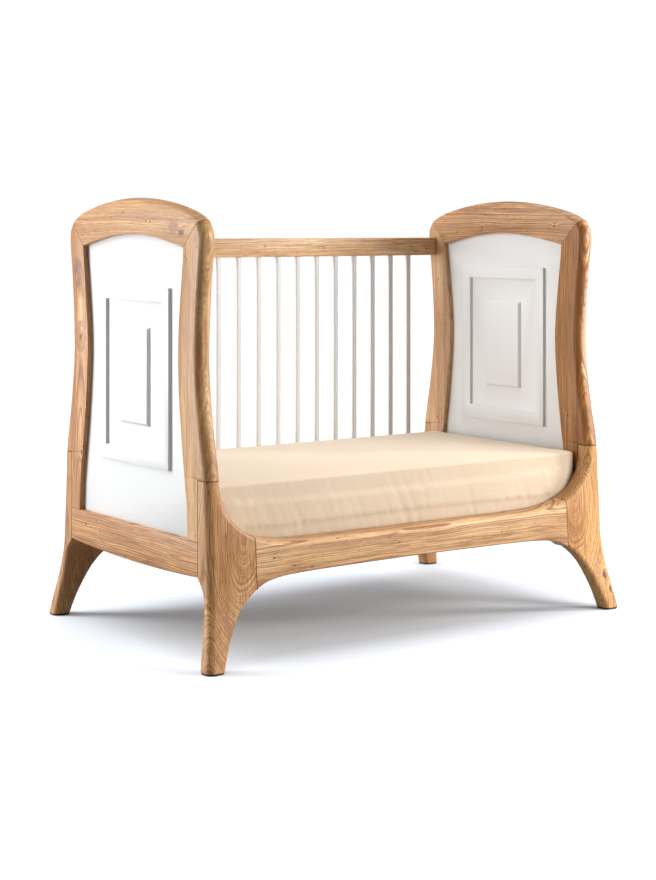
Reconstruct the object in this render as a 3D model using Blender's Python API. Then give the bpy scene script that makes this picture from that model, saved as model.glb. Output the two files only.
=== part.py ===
"""Baby crib open at the front: arched end frames with stepped white panels, a slatted back, a mattress.

Metres, +Z up. X runs along the length, -Y is the open front, and the origin is on the floor under the middle.
"""

import math

import bmesh
import bpy
from mathutils import Vector

# Overall layout
GAP = 0.0003            # clearance between pieces that touch
FRAME_IN = 0.6550       # inner face of each end frame, from the middle
FRAME_OUT = 0.7031      # outer face of each end frame
JOINT_Z = 0.4943        # level where the posts meet the legs
SEAM_Y = 0.3642         # side seam between leg and end rail, from the middle
SEAM_X = 0.5570         # seam between leg bracket and long rail, from the middle
NOSE_R = 0.0225         # rounding of the outer edges of posts, arches and legs
EDGE_R = 0.0010         # eased edge on a sharp arris

# End frames
POST_INNER = [(0.3303, 0.3110), (0.405, 0.3070), (0.4475, 0.3015), (0.490, 0.2945)]
POST_INNER_UP = [(0.5000, 0.2930), (0.530, 0.2882), (0.564, 0.2830), (0.610, 0.2765), (0.657, 0.2708),
                 (0.705, 0.2655), (0.752, 0.2618), (0.790, 0.2598), (0.825, 0.2592), (0.865, 0.2610),
                 (0.901, 0.2640), (0.945, 0.2690), (0.989, 0.2745), (1.030, 0.2798), (1.065, 0.2845),
                 (1.090, 0.2872)]
POST_OUTER_UP = [(JOINT_Z + GAP, 0.4095), (0.530, 0.4035), (0.564, 0.3965), (0.612, 0.3860), (0.660, 0.3775),
                 (0.708, 0.3700), (0.757, 0.3640), (0.795, 0.3615), (0.830, 0.3610), (0.872, 0.3622),
                 (0.912, 0.3645), (0.962, 0.3682), (1.018, 0.3735), (1.075, 0.3805), (1.125, 0.3860),
                 (1.157, 0.3830)]
MITRE_IN = (1.1080, 0.2885)
MITRE_OUT = (1.1830, 0.3655)
ARCH_IN = [(1.1140, 0.2600), (1.1195, 0.2300), (1.1275, 0.1850), (1.1345, 0.1400), (1.1395, 0.0900),
           (1.1425, 0.0450), (1.1435, 0.0)]
ARCH_OUT = [(1.1965, 0.3380), (1.2080, 0.3030), (1.2205, 0.2500), (1.2310, 0.1900), (1.2395, 0.1200),
            (1.2440, 0.0600), (1.2455, 0.0)]
END_RAIL_TOP = 0.3300
END_RAIL_BOTTOM = 0.2365
END_RAIL_BOW = 0.0105

# Panels
PANEL_OUT = 0.6880
PANEL_IN = 0.6690
TONGUE = 0.0055
GROOVE_DEPTH = 0.0085
GROOVE_SLACK = 0.0010
PANEL_STEP = 0.0085
STEP_HALF = (0.1990, 0.1610, 0.0850)
OUTER_STEPS = ((0.4985, 0.9970), (0.5400, 0.9580), (0.6085, 0.8845))
INNER_STEPS = ((0.5320, 1.0332), (0.5775, 0.9955), (0.6445, 0.9230))

# Legs: level, inner edge along X, outer edge along X, back face, front face, in distances from the middle
LEG_TOP = [(JOINT_Z - GAP, 0.6553), (0.4800, 0.6552), (0.4640, 0.6545), (0.4460, 0.6525), (0.4270, 0.6475),
           (0.4100, 0.6400), (0.3950, 0.6300), (0.3805, 0.6180), (0.3685, 0.6050), (0.3580, 0.5910),
           (0.3490, 0.5755)]
SEAM_LEVELS = [0.3405, 0.3000, 0.2360, 0.2250, 0.2100, 0.1980]
LEG_LOW = [(0.1900, 0.5670), (0.1800, 0.5795), (0.1700, 0.5905), (0.1560, 0.6030), (0.1400, 0.6150),
           (0.1200, 0.6275), (0.0950, 0.6410), (0.0650, 0.6550), (0.0330, 0.6675), (0.0058, 0.6765)]
LEG_OUT_X = [(0.0, 0.7330), (0.055, 0.7240), (0.11, 0.7150), (0.16, 0.7085), (0.20, 0.7050),
             (0.25, FRAME_OUT), (0.60, FRAME_OUT)]
LEG_BACK_Y = [(0.0, 0.4170), (0.055, 0.4100), (0.11, 0.4010), (0.16, 0.3945), (0.19, 0.3895), (0.21, 0.3830),
              (0.225, 0.3730), (0.236, SEAM_Y + GAP / 2), (0.60, SEAM_Y + GAP / 2)]
LEG_FRONT_Y = [(0.0, 0.4700), (0.044, 0.4610), (0.105, 0.4470), (0.16, 0.4350), (0.21, 0.4275),
               (0.27, 0.4240), (0.34, 0.4190), (0.40, 0.4150), (JOINT_Z + GAP, 0.4095)]
GLIDE_H = 0.0055

# Long rails
RAIL_TOP = [(SEAM_X, 0.3405), (0.530, 0.3310), (0.500, 0.3245), (0.460, 0.3190), (0.420, 0.3163),
            (0.360, 0.3150), (0.280, 0.3147), (0.140, 0.3145), (0.0, 0.3145)]
RAIL_LOW = [(SEAM_X, 0.1980), (0.535, 0.2105), (0.510, 0.2190), (0.468, 0.2258), (0.420, 0.2288),
            (0.360, 0.2305), (0.280, 0.2315), (0.140, 0.2328), (0.0, 0.2332)]
TOP_FALL = 0.0050       # fall of the rail's top from back to front
RAIL_TOP_R = 0.0070

# Slatted back
GATE_FRONT = 0.3350
GATE_BACK = 0.3637
GATE_TOP = (1.0670, 1.1264)
GATE_LOW = (0.3360, 0.3900)
SLAT_COUNT = 16
SLAT_PITCH = 0.0748
SLAT_SHIFT = -0.0164
SLAT_W = 0.0190
SLAT_D = 0.0150
TENON_W = 0.0120
TENON_D = 0.0080
TENON_L = 0.0120

# Mattress and its slatted base
CLEAT_Z = (0.2480, 0.2770)
CLEAT_T = 0.0260
BASE_COUNT = 8
BASE_W = 0.0750
BASE_T = 0.0150
MATTRESS = (0.6540, -0.3622, 0.3330, 0.2930, 0.4755)     # half length, front, back, underside, top

# Dowels
DOWEL_R = 0.0050
DOWEL_L = 0.0500

OAK = ("oiled_oak", (0.60, 0.40, 0.22), 0.42, 0.0)
WHITE = ("white_paint", (0.86, 0.85, 0.83), 0.38, 0.0)
CREAM = ("cream_cotton", (0.86, 0.74, 0.57), 0.85, 0.0)
BLACK = ("black_glide", (0.02, 0.02, 0.02), 0.5, 0.0)
BIRCH = ("dowel_birch", (0.72, 0.58, 0.40), 0.6, 0.0)


def material(spec):
    name, colour, roughness, metallic = spec
    found = bpy.data.materials.get(name)
    if found:
        return found
    mat = bpy.data.materials.new(name)
    mat.use_nodes = True
    shader = mat.node_tree.nodes["Principled BSDF"]
    shader.inputs["Base Color"].default_value = (*colour, 1.0)
    shader.inputs["Roughness"].default_value = roughness
    shader.inputs["Metallic"].default_value = metallic
    return mat


def interpolate(table, x):
    """Straight-line lookup in a table of (x, value) in rising x."""
    if x <= table[0][0]:
        return table[0][1]
    for (x0, v0), (x1, v1) in zip(table, table[1:]):
        if x <= x1:
            return v0 + (v1 - v0) * (x - x0) / (x1 - x0)
    return table[-1][1]


def finish_mesh(name, bm, spec):
    bmesh.ops.recalc_face_normals(bm, faces=bm.faces)
    mesh = bpy.data.meshes.new(name)
    bm.to_mesh(mesh)
    bm.free()
    obj = bpy.data.objects.new(name, mesh)
    bpy.context.scene.collection.objects.link(obj)
    mesh.materials.append(material(spec))
    return obj


def add_loft(bm, rings):
    """Join closed rings of points into one closed body with flat ends."""
    rows = []
    for ring in rings:
        rows.append([bm.verts.new(p) for p in ring])
    count = len(rows[0])
    for low, high in zip(rows, rows[1:]):
        for i in range(count):
            j = (i + 1) % count
            bm.faces.new((low[i], low[j], high[j], high[i]))
    bm.faces.new(rows[0])
    bm.faces.new(rows[-1])


def corner(radius, count, leaving):
    """Points of a quarter round as (inward, across) pairs, from a side face to a main face or back."""
    points = []
    for k in range(count + 1):
        t = math.pi / 2 * k / count
        inward = radius * (1 - math.cos(t))
        across = radius * (1 - math.sin(t))
        points.append((inward, across))
    if leaving:
        points.reverse()
    return points


def section(a, na, b, nb, low, high, radii, counts, groove=None):
    """Ring of (u, v, w) points for a bar with side faces at a and b and main faces at low and high.

    na and nb point into the wood. radii and counts are for the corners a-low, a-high, b-high, b-low.
    groove is (w0, w1, depth) cut into side a.
    """
    ring = []
    for inward, across in corner(radii[0], counts[0], True):
        ring.append((a[0] + na[0] * inward, a[1] + na[1] * inward, low + across))
    if groove:
        w0, w1, depth = groove
        ring.append((a[0], a[1], w0))
        ring.append((a[0] + na[0] * depth, a[1] + na[1] * depth, w0))
        ring.append((a[0] + na[0] * depth, a[1] + na[1] * depth, w1))
        ring.append((a[0], a[1], w1))
    for inward, across in corner(radii[1], counts[1], False):
        ring.append((a[0] + na[0] * inward, a[1] + na[1] * inward, high - across))
    for inward, across in corner(radii[2], counts[2], True):
        ring.append((b[0] + nb[0] * inward, b[1] + nb[1] * inward, high - across))
    for inward, across in corner(radii[3], counts[3], False):
        ring.append((b[0] + nb[0] * inward, b[1] + nb[1] * inward, low + across))
    return ring


def unit(a, b):
    """Unit vector from a to b."""
    dx, dy = b[0] - a[0], b[1] - a[1]
    length = math.hypot(dx, dy)
    return (dx / length, dy / length)


def add_box(bm, low, high, ease=0.0):
    """Box between two corners, with eased edges if ease is set."""
    verts = []
    for x in (low[0], high[0]):
        for y in (low[1], high[1]):
            for z in (low[2], high[2]):
                verts.append(bm.verts.new((x, y, z)))
    a, b, c, d, e, f, g, h = verts
    faces = []
    for quad in ((a, b, d, c), (e, g, h, f), (a, e, f, b), (c, d, h, g), (a, c, g, e), (b, f, h, d)):
        faces.append(bm.faces.new(quad))
    if ease:
        edges = list({edge for face in faces for edge in face.edges})
        bmesh.ops.recalc_face_normals(bm, faces=faces)
        bmesh.ops.bevel(bm, geom=edges, offset=ease, segments=2, profile=0.5, affect="EDGES")


def add_rod(bm, start, end, radii, sides=12):
    """Round rod from start to end through evenly spaced radii, as (fraction, radius) stations."""
    axis = (Vector(end) - Vector(start)).normalized()
    side = axis.orthogonal().normalized()
    other = axis.cross(side)
    rings = []
    for fraction, radius in radii:
        centre = Vector(start).lerp(Vector(end), fraction)
        ring = []
        for k in range(sides):
            t = 2 * math.pi * (k + 0.5) / sides
            ring.append(centre + radius * (math.cos(t) * side + math.sin(t) * other))
        rings.append(ring)
    add_loft(bm, rings)


def cut(obj, cutter_bm):
    """Take the cutter's bodies out of obj for good."""
    bmesh.ops.recalc_face_normals(cutter_bm, faces=cutter_bm.faces)
    mesh = bpy.data.meshes.new("cutter")
    cutter_bm.to_mesh(mesh)
    cutter_bm.free()
    tool = bpy.data.objects.new("cutter", mesh)
    bpy.context.scene.collection.objects.link(tool)
    join_boolean(obj, tool, "DIFFERENCE")


def join_boolean(obj, tool, operation):
    mod = obj.modifiers.new("shape", "BOOLEAN")
    mod.operation = operation
    mod.solver = "EXACT"
    mod.object = tool
    depsgraph = bpy.context.evaluated_depsgraph_get()
    result = bpy.data.meshes.new_from_object(obj.evaluated_get(depsgraph))
    obj.modifiers.clear()
    old = obj.data
    obj.data = result
    result.name = obj.name
    bpy.data.meshes.remove(old)
    tool_mesh = tool.data
    bpy.data.objects.remove(tool)
    bpy.data.meshes.remove(tool_mesh)


def frame_ring(a, b, na, nb, nose, side, depth):
    """Section of a post or arch rail: a is on the opening side, b outside, as (z, y)."""
    groove = (PANEL_IN - GROOVE_SLACK, PANEL_OUT + GROOVE_SLACK, depth)
    ring = section(a, na, b, nb, FRAME_IN, FRAME_OUT, (0.002, 0.002, nose, nose), (1, 1, 5, 5), groove)
    return [(side * w, y, z) for z, y, w in ring]


def make_post(name, side, front):
    """Upright of an end frame; its foot stands on the end rail beside the leg."""
    depth = GROOVE_DEPTH
    stations = []
    foot_y = SEAM_Y - GAP / 2
    for z, y in POST_INNER:
        outer = (z if z < 0.45 else 0.4715, foot_y)
        stations.append(((z, y), outer, EDGE_R))
    stations[-1] = (stations[-1][0], (JOINT_Z + GAP, foot_y), EDGE_R)
    for inner, outer in zip(POST_INNER_UP, POST_OUTER_UP):
        stations.append((inner, outer, NOSE_R))
    rings = []
    for a, b, nose in stations:
        direction = unit(a, b)
        back = (-direction[0], -direction[1])
        if b[0] < 0.50:
            back = (0.0, -1.0)
            direction = (0.0, 1.0)
        rings.append(frame_ring(a, b, direction, back, nose, side, depth))
    direction = unit(MITRE_IN, MITRE_OUT)
    normal = (direction[1], -direction[0])
    shift = -GAP / 2
    a = (MITRE_IN[0] + normal[0] * shift, MITRE_IN[1] + normal[1] * shift)
    b = (MITRE_OUT[0] + normal[0] * shift, MITRE_OUT[1] + normal[1] * shift)
    rings.append(frame_ring(a, b, direction, (-direction[0], -direction[1]), NOSE_R, side, depth))
    bm = bmesh.new()
    add_loft(bm, [[(x, front * y, z) for x, y, z in ring] for ring in rings])
    return finish_mesh(name, bm, OAK)


def make_arch(name, side):
    """Arched top rail, mitred to the two posts."""
    depth = GROOVE_DEPTH
    direction = unit(MITRE_IN, MITRE_OUT)
    normal = (direction[1], -direction[0])
    shift = GAP / 2
    a = (MITRE_IN[0] + normal[0] * shift, MITRE_IN[1] + normal[1] * shift)
    b = (MITRE_OUT[0] + normal[0] * shift, MITRE_OUT[1] + normal[1] * shift)
    half = [frame_ring(a, b, direction, (-direction[0], -direction[1]), NOSE_R, side, depth)]
    for inner, outer in zip(ARCH_IN, ARCH_OUT):
        out = unit(inner, outer)
        half.append(frame_ring(inner, outer, out, (-out[0], -out[1]), NOSE_R, side, depth))
    rings = [[(x, -y, z) for x, y, z in ring] for ring in half]
    rings += [list(ring) for ring in reversed(half[:-1])]
    bm = bmesh.new()
    add_loft(bm, rings)
    return finish_mesh(name, bm, OAK)


def make_end_rail(name, side):
    """Lower rail of an end frame, grooved for the panel and bowed along its lower edge."""
    rings = []
    half = SEAM_Y - GAP / 2
    groove = (PANEL_IN - GROOVE_SLACK, PANEL_OUT + GROOVE_SLACK, GROOVE_DEPTH)
    for k in range(17):
        y = -half + 2 * half * k / 16
        low = END_RAIL_BOTTOM - END_RAIL_BOW * (1 - (y / half) ** 2)
        ring = section((END_RAIL_TOP, y), (-1.0, 0.0), (low, y), (1.0, 0.0), FRAME_IN + GAP, FRAME_OUT,
                       (0.002, 0.002, 0.006, 0.003), (1, 1, 2, 1), groove)
        rings.append([(side * w, v, u) for u, v, w in ring])
    bm = bmesh.new()
    add_loft(bm, rings)
    return finish_mesh(name, bm, OAK)


def panel_outline():
    """Half width of the panel at rising levels, tongue included."""
    table = [(z, y + TONGUE) for z, y in POST_INNER + POST_INNER_UP]
    levels = [(END_RAIL_TOP - TONGUE, table[0][1])]
    levels += table[1:4] + table[5::2]
    levels.append((MITRE_IN[0] + 0.0040, MITRE_IN[1] + 0.0058))
    for z, y in ARCH_IN[:-1]:
        levels.append((z + TONGUE, y))
    levels.append((ARCH_IN[-1][0] + TONGUE, 0.0220))
    return levels


def step_box(name, half, low, high, x0, x1, slope):
    """Block for one step of the panel, its far face smaller by slope all round."""
    bm = bmesh.new()
    near = [(x0, -half, low), (x0, half, low), (x0, half, high), (x0, -half, high)]
    far = [(x1, -half + slope, low + slope), (x1, half - slope, low + slope)]
    far += [(x1, half - slope, high - slope), (x1, -half + slope, high - slope)]
    add_loft(bm, [near, far])
    return finish_mesh(name, bm, WHITE)


def raised_field(half, low, high, x0, x1, x2, slope):
    """Block with upright sides from x0 to x1 and sloped sides from x1 to x2."""
    bm = bmesh.new()
    rings = []
    for x, inset in ((x0, 0.0), (x1, 0.0), (x2, slope)):
        y = half - inset
        z0 = low + inset
        z1 = high - inset
        rings.append([(x, -y, z0), (x, y, z0), (x, y, z1), (x, -y, z1)])
    add_loft(bm, rings)
    return finish_mesh("field", bm, WHITE)


def make_panel(name, side):
    """White panel; each face has a raised field, a sunk field in that and a small raised field."""
    rings = []
    inner = side * PANEL_IN
    outer = side * PANEL_OUT
    for z, y in panel_outline():
        rings.append([(inner, -y, z), (inner, y, z), (outer, y, z), (outer, -y, z)])
    bm = bmesh.new()
    add_loft(bm, rings)
    panel = finish_mesh(name, bm, WHITE)
    middle = (PANEL_IN + PANEL_OUT) / 2
    for face, steps, out in ((PANEL_OUT, OUTER_STEPS, 1), (PANEL_IN, INNER_STEPS, -1)):
        raised = side * (face + out * PANEL_STEP)
        (z0, z1), (z2, z3), (z4, z5) = steps
        block = step_box("step", STEP_HALF[0], z0, z1, side * middle, raised, 0.0010)
        join_boolean(panel, block, "UNION")
        sunk = side * (face - out * 0.0001)
        clear = side * (face + out * 0.0150)
        pocket = step_box("step", STEP_HALF[1], z2, z3, sunk, clear, -0.0010)
        join_boolean(panel, pocket, "DIFFERENCE")
        field = raised_field(STEP_HALF[2], z4, z5, side * middle, side * face, raised, 0.0070)
        join_boolean(panel, field, "UNION")
    return panel


def normals_of(chain, towards):
    """Unit normals of an open chain of points that point to the given side."""
    found = []
    for k, point in enumerate(chain):
        before = chain[max(k - 1, 0)]
        after = chain[min(k + 1, len(chain) - 1)]
        t = unit(before, after)
        n = (t[1], -t[0])
        if n[0] * towards[0] + n[1] * towards[1] < 0:
            n = (-n[0], -n[1])
        found.append(n)
    return found


def make_leg(name, side, front):
    """Leg with the curved bracket that carries the long rail; it splays to the foot."""
    top = [(x, z) for z, x in LEG_TOP]
    seam = [(SEAM_X + GAP / 2, z) for z in SEAM_LEVELS]
    low = [(x, z) for z, x in LEG_LOW]
    chain = top + seam + low
    normals = normals_of(top + seam[:1], (1.0, -0.3))[:-1]
    normals += [(0.0, -1.0)] + [(1.0, 0.0)] * (len(seam) - 2) + [(0.0, 1.0)]
    normals += normals_of(seam[-1:] + low, (1.0, 0.3))[1:]
    normals[0] = (1.0, 0.0)
    normals[-1] = (1.0, 0.0)
    rings = []
    for k, (point, normal) in enumerate(zip(chain, normals)):
        z = point[1]
        outer = (interpolate(LEG_OUT_X, z), z)
        drop = min(max((0.2365 - z) / 0.10, 0.0), 1.0)
        back_round = EDGE_R + 0.015 * min(drop * 2, 1.0)
        bracket_back = 0.002
        edge = 0.007 + (NOSE_R - 0.007) * min(max((z - 0.40) / 0.085, 0.0), 1.0)
        if len(top) < k < len(top) + len(seam) - 1:
            edge = bracket_back = 0.0004
        elif k >= len(top) + len(seam) - 1:
            edge = 0.005 + 0.011 * drop
            bracket_back = 0.004 + 0.010 * drop
        radii = (bracket_back, edge, NOSE_R - 0.002 * drop, back_round)
        fall = 0.0
        if len(top) - 4 < k <= len(top):
            fall = TOP_FALL * (k - len(top) + 4) / 4
        flat = section(point, normal, outer, (-1.0, 0.0), -0.5, 0.5, radii, (2, 4, 6, 3))
        split = 2 + 4 + 2
        ring = []
        for i, (u, v, w) in enumerate(flat):
            back = interpolate(LEG_BACK_Y, v)
            face = interpolate(LEG_FRONT_Y, v)
            y = back + (w + 0.5) if w < 0 else face - (0.5 - w)
            if i < split:
                v -= fall * (0.5 if w > 0 else -0.5)
            ring.append((side * u, front * y, v))
        rings.append(ring)
    bm = bmesh.new()
    add_loft(bm, rings)
    return finish_mesh(name, bm, OAK), rings[-1]


def make_glide(name, foot):
    """Black furniture glide that covers the end grain of a foot."""
    count = len(foot)
    cx = sum(p[0] for p in foot) / count
    cy = sum(p[1] for p in foot) / count
    rings = []
    for z, scale in ((0.0, 0.90), (0.0015, 0.955), (GLIDE_H, 0.965)):
        rings.append([(cx + (x - cx) * scale, cy + (y - cy) * scale, z) for x, y, _ in foot])
    bm = bmesh.new()
    add_loft(bm, rings)
    return finish_mesh(name, bm, BLACK)


def make_long_rail(name, front):
    """Front or rear rail between two leg brackets; its face leans out like the legs."""
    end = SEAM_X - GAP / 2
    top = [(min(x, end), z) for x, z in RAIL_TOP]
    low = [(min(x, end), z) for x, z in RAIL_LOW]
    top = [(-x, z) for x, z in top] + [(x, z) for x, z in reversed(top[:-1])]
    low = [(-x, z) for x, z in low] + [(x, z) for x, z in reversed(low[:-1])]
    top_n = normals_of(top, (0.0, -1.0))
    low_n = normals_of(low, (0.0, 1.0))
    top_n[0] = top_n[-1] = (0.0, -1.0)
    low_n[0] = low_n[-1] = (0.0, 1.0)
    rings = []
    for a, na, b, nb in zip(low, low_n, top, top_n):
        flat = section(a, na, b, nb, -0.5, 0.5, (0.004, 0.005, RAIL_TOP_R, 0.002), (2, 3, 4, 2))
        split = 3 + 4
        ring = []
        for i, (u, v, w) in enumerate(flat):
            back = SEAM_Y + GAP / 2
            face = interpolate(LEG_FRONT_Y, v)
            y = back + (w + 0.5) if w < 0 else face - (0.5 - w)
            if i >= split:
                v -= TOP_FALL * (0.5 if w > 0 else -0.5)
            ring.append((u, front * y, v))
        rings.append(ring)
    bm = bmesh.new()
    add_loft(bm, rings)
    return finish_mesh(name, bm, OAK)


def slat_x(index):
    return SLAT_SHIFT + (index - (SLAT_COUNT - 1) / 2) * SLAT_PITCH


def make_gate_rail(name, levels, mouth):
    """Rail of the slatted back, with a mortise for each slat. mouth is +1 when the slats enter from above."""
    bm = bmesh.new()
    half = FRAME_IN - GAP
    add_box(bm, (-half, GATE_FRONT, levels[0]), (half, GATE_BACK, levels[1]), 0.0025)
    rail = finish_mesh(name, bm, OAK)
    tool = bmesh.new()
    middle = (GATE_FRONT + GATE_BACK) / 2
    face = levels[1] if mouth > 0 else levels[0]
    deep = face - mouth * (TENON_L + 0.001)
    for k in range(SLAT_COUNT):
        x = slat_x(k)
        low = (x - TENON_W / 2 - GAP, middle - TENON_D / 2 - GAP, min(deep, face + mouth * 0.005))
        high = (x + TENON_W / 2 + GAP, middle + TENON_D / 2 + GAP, max(deep, face + mouth * 0.005))
        add_box(tool, low, high)
    cut(rail, tool)
    return rail


def make_slat(index):
    """Rounded white slat with a tenon at each end."""
    x = slat_x(index)
    middle = (GATE_FRONT + GATE_BACK) / 2
    low = GATE_LOW[1] + GAP
    high = GATE_TOP[0] - GAP
    body = []
    for sx, sy in ((1, 1), (-1, 1), (-1, -1), (1, -1)):
        for k in range(3):
            t = math.pi / 4 * k
            cx, cy = math.cos(t), math.sin(t)
            if sx * sy < 0:
                cx, cy = math.sin(t), math.cos(t)
            r = 0.0055
            body.append((sx * (SLAT_W / 2 - r + r * cx), sy * (SLAT_D / 2 - r + r * cy)))
    bm = bmesh.new()
    add_loft(bm, [[(x + dx, middle + dy, z) for dx, dy in body] for z in (low, high)])
    slat = finish_mesh("gate_slat_%02d" % (index + 1), bm, WHITE)
    for z0, z1 in ((low - TENON_L, low + 0.01), (high - 0.01, high + TENON_L)):
        tenon = bmesh.new()
        wide, thick = TENON_W / 2, TENON_D / 2
        add_box(tenon, (x - wide, middle - thick, z0), (x + wide, middle + thick, z1))
        join_boolean(slat, finish_mesh("tenon", tenon, WHITE), "UNION")
    return slat


def make_mattress():
    """Crib mattress with rounded edges in a fitted sheet."""
    half, front, back, low, high = MATTRESS
    r = 0.010
    profile = []
    for k in range(5):
        t = math.pi / 2 * k / 4
        profile.append((low + r * (1 - math.cos(t)), r * (1 - math.sin(t))))
    for k in range(5):
        t = math.pi / 2 * k / 4
        profile.append((high - r * (1 - math.sin(t)), r * (1 - math.cos(t))))
    rings = []
    for z, inset in profile:
        ring = []
        radius = max(0.015 - inset, 0.005)
        corners = ((half, back, 0.0), (-half, back, 90.0), (-half, front, 180.0), (half, front, 270.0))
        for cx, cy, start in corners:
            ox = cx - math.copysign(inset + radius, cx)
            oy = cy - math.copysign(inset + radius, cy)
            for k in range(5):
                t = math.radians(start + 22.5 * k)
                ring.append((ox + radius * math.cos(t), oy + radius * math.sin(t), z))
        rings.append(ring)
    bm = bmesh.new()
    add_loft(bm, rings)
    return finish_mesh("mattress", bm, CREAM)


def base_x(index):
    return (index - (BASE_COUNT - 1) / 2) * 2 * (FRAME_IN - 0.055) / (BASE_COUNT - 1)


def make_cleat(name, front):
    """Ledger under the ends of the base slats, screwed to the long rail."""
    bm = bmesh.new()
    outer = SEAM_Y - GAP / 2
    inner = outer - CLEAT_T
    y0, y1 = sorted((front * inner, front * outer))
    add_box(bm, (-0.640, y0, CLEAT_Z[0]), (0.640, y1, CLEAT_Z[1]), 0.002)
    return finish_mesh(name, bm, OAK)


def make_base_slat(index):
    x = base_x(index)
    reach = SEAM_Y - 0.0015
    bm = bmesh.new()
    level = CLEAT_Z[1] + GAP
    add_box(bm, (x - BASE_W / 2, -reach, level), (x + BASE_W / 2, reach, level + BASE_T), 0.002)
    return finish_mesh("base_slat_%d" % (index + 1), bm, OAK)


def add_dowel(bm, centre, axis, length, radius):
    """Fluteless dowel with chamfered ends."""
    direction = Vector(axis).normalized()
    start = Vector(centre) - direction * length / 2
    end = Vector(centre) + direction * length / 2
    tip = 0.0015 / length
    stations = ((0.0, radius - 0.001), (tip, radius), (1 - tip, radius), (1.0, radius - 0.001))
    add_rod(bm, start, end, stations, 12)


def add_joint_dowel(name, pieces, centre, axis, first, second):
    """A dowel across a joint, with a matching hole in the two pieces that it joins."""
    bm = bmesh.new()
    add_dowel(bm, centre, axis, DOWEL_L, DOWEL_R)
    direction = Vector(axis).normalized()
    start = Vector(centre) - direction * (DOWEL_L / 2 + 0.001)
    end = Vector(centre) + direction * (DOWEL_L / 2 + 0.001)
    for piece in (first, second):
        tool = bmesh.new()
        reach = DOWEL_R + GAP
        add_rod(tool, start, end, ((0.0, reach), (1.0, reach)), 12)
        cut(pieces[piece], tool)
    return finish_mesh(name, bm, BIRCH)


def main():
    for obj in list(bpy.data.objects):
        bpy.data.objects.remove(obj)
    pieces = {}
    sides = (("left", -1), ("right", 1))
    for end, side in sides:
        for place, front in (("front", -1), ("rear", 1)):
            pieces["%s_%s_post" % (end, place)] = make_post("%s_%s_post" % (end, place), side, front)
            pieces["%s_%s_leg" % (end, place)], foot = make_leg("%s_%s_leg" % (end, place), side, front)
            make_glide("%s_%s_glide" % (end, place), foot)
        pieces["%s_arch_rail" % end] = make_arch("%s_arch_rail" % end, side)
        pieces["%s_end_rail" % end] = make_end_rail("%s_end_rail" % end, side)
        pieces["%s_panel" % end] = make_panel("%s_panel" % end, side)
    pieces["front_rail"] = make_long_rail("front_rail", -1)
    pieces["rear_rail"] = make_long_rail("rear_rail", 1)
    pieces["gate_top_rail"] = make_gate_rail("gate_top_rail", GATE_TOP, -1)
    pieces["gate_bottom_rail"] = make_gate_rail("gate_bottom_rail", GATE_LOW, 1)
    for index in range(SLAT_COUNT):
        make_slat(index)
    pieces["front_cleat"] = make_cleat("front_cleat", -1)
    pieces["rear_cleat"] = make_cleat("rear_cleat", 1)
    for index in range(BASE_COUNT):
        pieces["base_slat_%d" % (index + 1)] = make_base_slat(index)
    make_mattress()

    for end, side in sides:
        for place, front in (("front", -1), ("rear", 1)):
            centre = (side * SEAM_X, front * 0.393, 0.275)
            leg = "%s_%s_leg" % (end, place)
            rail = "%s_rail" % place
            add_joint_dowel("%s_%s_rail_dowel" % (end, place), pieces, centre, (1, 0, 0), leg, rail)
        for rail, levels in (("gate_top_rail", GATE_TOP), ("gate_bottom_rail", GATE_LOW)):
            post = "%s_rear_post" % end
            centre = (side * (FRAME_IN - GAP / 2), (GATE_FRONT + GATE_BACK) / 2, (levels[0] + levels[1]) / 2)
            name = "%s_%s_dowel" % (end, rail.replace("_rail", ""))
            add_joint_dowel(name, pieces, centre, (1, 0, 0), post, rail)


main()
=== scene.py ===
"""Look of the baby crib: oiled oak, white stepped panels and slats, cream fitted sheet, white studio."""
import math

import bmesh
import bpy
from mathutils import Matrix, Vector, noise


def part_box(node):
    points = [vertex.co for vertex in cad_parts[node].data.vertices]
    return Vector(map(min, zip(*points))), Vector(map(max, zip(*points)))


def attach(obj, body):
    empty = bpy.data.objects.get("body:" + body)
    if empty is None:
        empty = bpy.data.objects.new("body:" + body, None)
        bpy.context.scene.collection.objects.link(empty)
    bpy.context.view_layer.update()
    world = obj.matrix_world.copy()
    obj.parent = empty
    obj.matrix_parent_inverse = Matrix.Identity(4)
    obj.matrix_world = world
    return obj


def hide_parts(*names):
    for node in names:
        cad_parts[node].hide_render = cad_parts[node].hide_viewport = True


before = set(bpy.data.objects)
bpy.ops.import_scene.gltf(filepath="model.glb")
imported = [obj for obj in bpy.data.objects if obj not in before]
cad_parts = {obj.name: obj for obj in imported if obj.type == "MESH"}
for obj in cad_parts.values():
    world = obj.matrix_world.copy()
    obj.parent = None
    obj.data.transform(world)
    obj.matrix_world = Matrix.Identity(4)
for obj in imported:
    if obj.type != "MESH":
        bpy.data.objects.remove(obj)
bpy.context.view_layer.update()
scene = bpy.context.scene

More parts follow.
